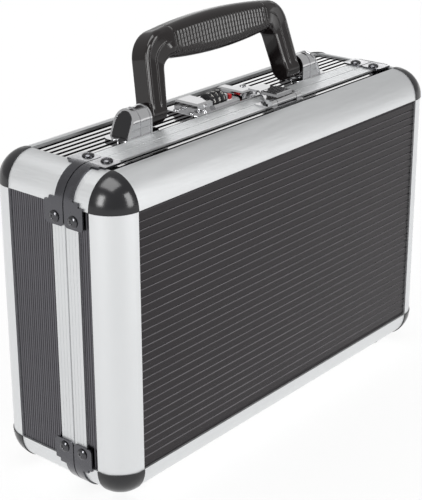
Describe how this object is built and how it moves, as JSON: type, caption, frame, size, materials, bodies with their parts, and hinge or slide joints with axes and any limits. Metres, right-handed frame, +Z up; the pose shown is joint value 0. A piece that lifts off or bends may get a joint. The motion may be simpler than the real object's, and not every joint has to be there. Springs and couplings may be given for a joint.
{
  "type": "attache case",
  "caption": "Hard-sided attache case with ribbed panels, bright edge profiles, ball corners, a swinging handle and a combination hasp lock; it opens on hinges along its bottom.",
  "frame": {"origin": "on the floor under the middle of the case, at the centre of the bounding box in X and Y", "axes": "+X along the case's length, -Y towards the lid's face, +Z up towards the handle"},
  "size_m": [0.3358, 0.1082, 0.2738],
  "materials": {
    "panel": "ribbed dark satin",
    "edge_profile": "satin extrusion",
    "frame_rail": "grooved satin extrusion",
    "ball_corner": "glossy black moulding",
    "corner_strap": "glossy dark finish",
    "liner": "black foam and cloth",
    "foot": "matt black",
    "rivet": "bright domed head",
    "hinge_steel": "bright zinc",
    "handle_frame": "glossy black moulding",
    "handle_grip": "textured soft black",
    "dial": "black with light figures",
    "reset_lever": "red",
    "lock_chrome": "polished"
  },
  "bodies": {
    "base": {"base_face_panel": "panel", "base_top_panel": "panel", "base_bottom_panel": "panel", "base_left_panel": "panel", "base_right_panel": "panel", "base_top_edge": "edge_profile", "base_bottom_edge": "edge_profile", "base_left_edge": "edge_profile", "base_right_edge": "edge_profile", "base_corner_edges": "edge_profile", "base_frame": "frame_rail", "base_ball_corners": "ball_corner", "base_corner_straps": "corner_strap", "base_strap_rivets": "rivet", "base_liner": "liner", "base_feet": "foot", "base_hinge_leaves": "hinge_steel", "base_hinge_rivets": "rivet", "hinge_pins": "hinge_steel", "handle_bracket_left": "lock_chrome", "handle_bracket_right": "lock_chrome", "bracket_rivets": "rivet", "handle_pins": "hinge_steel", "lock_plate": "lock_chrome", "lock_case": "lock_chrome", "dial_spindle": "hinge_steel", "lock_rivets": "rivet"},
    "lid": {"lid_face_panel": "panel", "lid_top_panel": "panel", "lid_bottom_panel": "panel", "lid_left_panel": "panel", "lid_right_panel": "panel", "lid_top_edge": "edge_profile", "lid_bottom_edge": "edge_profile", "lid_left_edge": "edge_profile", "lid_right_edge": "edge_profile", "lid_corner_edges": "edge_profile", "lid_frame": "frame_rail", "lid_ball_corners": "ball_corner", "lid_corner_straps": "corner_strap", "lid_strap_rivets": "rivet", "lid_liner": "liner", "lid_feet": "foot", "lid_hinge_leaves": "hinge_steel", "lid_hinge_rivets": "rivet", "hasp_mount": "lock_chrome", "hasp_pin": "hinge_steel", "hasp_rivets": "rivet"},
    "handle": {"handle_frame": "handle_frame", "handle_grip": "handle_grip"},
    "dial_1": {"dial_1": "dial"},
    "dial_2": {"dial_2": "dial"},
    "dial_3": {"dial_3": "dial"},
    "lock_slide": {"lock_slide": "lock_chrome"},
    "reset_lever": {"reset_lever": "reset_lever"},
    "hasp": {"hasp": "lock_chrome"}
  },
  "joints": [
    {"name": "lid_hinge", "type": "hinge", "parent": "base", "child": "lid", "pos_m": [0, -0.014, 0.0021], "axis": [1, 0, 0], "range_deg": [0, 95]},
    {"name": "handle_swing", "type": "hinge", "parent": "base", "child": "handle", "pos_m": [0, 0.005, 0.221], "axis": [1, 0, 0], "range_deg": [-70, 85]},
    {"name": "dial_1_turn", "type": "hinge", "parent": "base", "child": "dial_1", "pos_m": [-0.0114, 0.008, 0.2144], "axis": [1, 0, 0], "continuous": true},
    {"name": "dial_2_turn", "type": "hinge", "parent": "base", "child": "dial_2", "pos_m": [-0.0065, 0.008, 0.2144], "axis": [1, 0, 0], "continuous": true},
    {"name": "dial_3_turn", "type": "hinge", "parent": "base", "child": "dial_3", "pos_m": [-0.0016, 0.008, 0.2144], "axis": [1, 0, 0], "continuous": true},
    {"name": "lock_slide_move", "type": "slide", "parent": "base", "child": "lock_slide", "axis": [1, 0, 0], "range_m": [0, 0.004]},
    {"name": "reset_lever_move", "type": "slide", "parent": "base", "child": "reset_lever", "axis": [0, 1, 0], "range_m": [0, 0.003]},
    {"name": "hasp_lift", "type": "hinge", "parent": "lid", "child": "hasp", "pos_m": [0, -0.0275, 0.2149], "axis": [1, 0, 0], "range_deg": [0, 100]}
  ]
}
